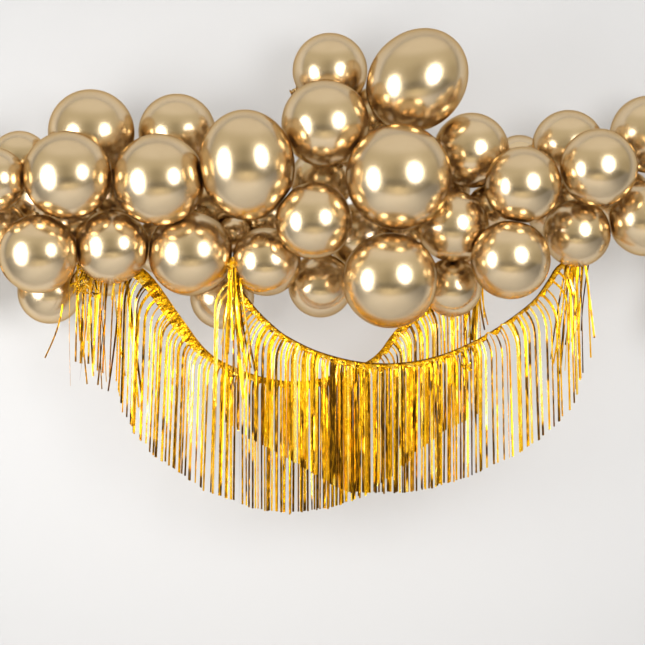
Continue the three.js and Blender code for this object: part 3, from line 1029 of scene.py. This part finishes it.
@dataclass
class Studio:
    """White wall, pale floor, two soft boxes, light off the floor and a warm room about them."""

    view_width: float = 1.548
    distance: float = 4.0
    focus_off: float = 0.18
    eye_height: float = -0.306
    floor_height: float = -1.45
    paper_edge: float = -1.9
    wall_gap: float = 0.004

    def __post_init__(self) -> None:
        """Finds the middle of the garland."""
        self.middle = HALF_SPAN

    def camera(self) -> None:
        """Level camera, square to the wall."""
        data = bpy.data.cameras.new("camera")
        data.sensor_width = 36.0
        data.lens = data.sensor_width * self.distance / self.view_width
        data.clip_end = 60.0
        obj = bpy.data.objects.new("camera", data)
        bpy.context.scene.collection.objects.link(obj)
        obj.location = (self.middle, -self.focus_off - self.distance, self.eye_height)
        obj.rotation_euler = (math.pi / 2, 0.0, 0.0)
        bpy.context.scene.camera = obj

    def plane(self, name: str, corners: list[tuple]) -> bpy.types.Object:
        """One flat stage panel from its four corners."""
        obj = mesh_object(name, np.array(corners, float), np.array([[0, 1, 2, 3]]), smooth=False)
        return obj

    def wall(self) -> None:
        """The wall, which shows from its front only, so that the back of the garland can be seen."""
        m, y = self.middle, self.wall_gap
        panel = self.plane("wall", [(m - 5, y, self.floor_height), (m + 5, y, self.floor_height),
                                    (m + 5, y, 2.6), (m - 5, y, 2.6)])
        made = bpy.data.materials.new("wall_paint")
        made.use_nodes = True
        graph = Graph(made.node_tree)
        paint = graph.add("ShaderNodeBsdfDiffuse", Color=(0.345, 0.345, 0.348, 1.0))
        clear = graph.add("ShaderNodeBsdfTransparent")
        back = graph.add("ShaderNodeNewGeometry").outputs["Backfacing"]
        both = graph.add("ShaderNodeMixShader", i0=back, i1=paint.outputs[0], i2=clear.outputs[0])
        graph.add("ShaderNodeOutputMaterial", Surface=both.outputs[0])
        panel.data.materials.append(made)

    def floor(self) -> None:
        """Pale floor; beyond the paper's edge mirrors see it dimmer, as the unlit part of the room."""
        m, z = self.middle, self.floor_height
        panel = self.plane("floor", [(m - 9, -9, z), (m + 9, -9, z), (m + 9, 9, z), (m - 9, 9, z)])
        made = bpy.data.materials.new("floor_paper")
        made.use_nodes = True
        graph = Graph(made.node_tree)
        place = graph.add("ShaderNodeNewGeometry").outputs["Position"]
        y = graph.add("ShaderNodeSeparateXYZ", Vector=place).outputs[1]
        far = graph.ramp(y, self.paper_edge - 0.20, self.paper_edge + 0.20, 1.0, 0.0)
        mirror = graph.add("ShaderNodeLightPath").outputs["Is Glossy Ray"]
        dim = graph.math("MULTIPLY", far, mirror)
        colour = graph.mix(dim, (0.44, 0.44, 0.435, 1.0), (0.235, 0.21, 0.15, 1.0))
        shader = graph.add("ShaderNodeBsdfDiffuse", Color=colour)
        graph.add("ShaderNodeOutputMaterial", Surface=shader.outputs[0])
        panel.data.materials.append(made)

    def room(self) -> None:
        """World light: white to the eye, and to mirrors a warm room, dim ahead and pale above.

        What a mirror sends on after a matt surface is the plain light, so that the wall beside
        the balloons stays bright.
        """
        world = bpy.data.worlds.new("room")
        bpy.context.scene.world = world
        world.use_nodes = True
        graph = Graph(world.node_tree)
        way = graph.add("ShaderNodeTexCoord").outputs["Generated"]
        parts = graph.add("ShaderNodeSeparateXYZ", Vector=way)
        up = parts.outputs[2]
        colour = graph.mix(graph.ramp(up, 0.10, 0.50), (0.44, 0.395, 0.28, 1.0), (0.60, 0.55, 0.42, 1.0))
        colour = graph.mix(graph.ramp(up, 0.60, 0.85), colour, (0.80, 0.755, 0.67, 1.0))
        ahead = graph.ramp(graph.math("ABSOLUTE", parts.outputs[0]), 0.05, 0.42, 0.5, 0.0)
        ahead = graph.math("MULTIPLY", ahead, graph.ramp(up, 0.25, 0.6, 1.0, 0.0))
        colour = graph.mix(ahead, colour, (0.28, 0.25, 0.17, 1.0))
        mirror = graph.add("ShaderNodeBackground", Color=colour, Strength=1.0)
        plain = graph.add("ShaderNodeBackground", Color=(0.985, 0.99, 1.0, 1.0), Strength=0.64)
        seen = graph.add("ShaderNodeBackground", Color=(0.93, 0.93, 0.93, 1.0), Strength=1.0)
        ray = graph.add("ShaderNodeLightPath")
        direct = graph.math("SUBTRACT", ray.outputs["Is Glossy Ray"], ray.outputs["Diffuse Depth"],
                            clamp=True)
        light = graph.add("ShaderNodeMixShader", i0=direct, i1=plain.outputs[0],
                          i2=mirror.outputs[0])
        both = graph.add("ShaderNodeMixShader", i0=ray.outputs["Is Camera Ray"], i1=light.outputs[0],
                         i2=seen.outputs[0])
        graph.add("ShaderNodeOutputWorld", Surface=both.outputs[0])

    def lights(self) -> None:
        """The two soft boxes left and right of the camera, and the soft light off the floor.

        The light off the floor casts no shadow and shows in no mirror, as it comes from all over.
        """
        m = self.middle
        target = np.array([m, -0.3, -0.05])
        boxes = (SoftBox("softbox_left", (m - 1.60, -1.45, -0.20), 0.95, 1.45, 32.0),
                 SoftBox("softbox_right", (m + 1.21, -2.02, 0.21), 1.00, 1.30, 30.0))
        for box in boxes:
            box.build(target)
        bounce = SoftBox("floor_bounce", (m, -3.4, -0.75), 2.6, 1.2, 160.0, (1.0, 0.965, 0.915))
        filler = bounce.build(np.array([m, 0.0, -0.25]))
        filler.visible_glossy = False
        filler.data.use_shadow = False

    def build(self) -> None:
        """Makes the whole studio and sets plain colour handling."""
        self.camera()
        self.wall()
        self.floor()
        self.room()
        self.lights()
        view = bpy.context.scene.view_settings
        view.view_transform = "Standard"
        view.look = "None"


# ---- assembly ---------------------------------------------------------------------------------


def main() -> None:
    """Builds the garland and its studio, and reports each piece."""
    logging.basicConfig(level=logging.INFO, format="%(name)s: %(message)s")
    clouds = cloud_group()
    latex = ChromeLatex().material(clouds)
    foil = GoldFoil().material(clouds)
    band_foil = GoldFoil(name="gold_foil_band", roughness=0.13, relief=0.8, relief_scale=120.0,
                         relief_stretch=(1.0, 1.0, 1.0)).material(clouds)
    bouquet = Bouquet()
    bouquet.fit()
    pieces = bouquet.build(latex)
    pieces += Fringe().build(foil, band_foil)
    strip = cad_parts["carrying_strip"]
    strip.data.materials.clear()
    strip.data.materials.append(ClearFilm().material())
    for piece in pieces:
        LOG.info("%s: %d faces", piece.name, len(piece.data.polygons))
    Studio().build()


if __name__ == "__main__":
    main()
